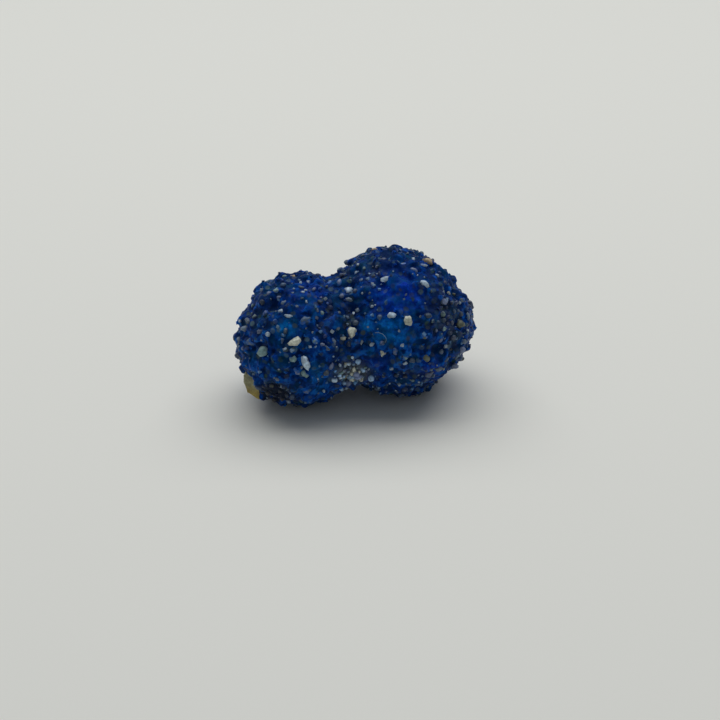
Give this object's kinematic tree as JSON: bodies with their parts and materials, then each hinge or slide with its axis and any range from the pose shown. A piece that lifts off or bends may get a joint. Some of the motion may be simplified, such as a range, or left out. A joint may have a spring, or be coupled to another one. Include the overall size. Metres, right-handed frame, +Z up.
{
  "type": "azurite specimen",
  "caption": "Azurite nodule of sand-filled balls grown together, with a crystal crust, pale sand grains and a chip of sandstone.",
  "frame": {"origin": "middle of the stone's footprint, at the height of the two worn patches that it rests on", "axes": "+X along the stone's length, from the small ball to the large ball; +Y towards its back; +Z up"},
  "size_m": [0.0198, 0.0139, 0.0122],
  "materials": {
    "azurite": "deep blue azurite crust with small glinting crystal faces",
    "pale_sand": "pale glassy quartz grains",
    "sandstone": "matt buff sandstone"
  },
  "bodies": {
    "root": {"azurite_nodule": "azurite"}
  },
  "joints": []
}
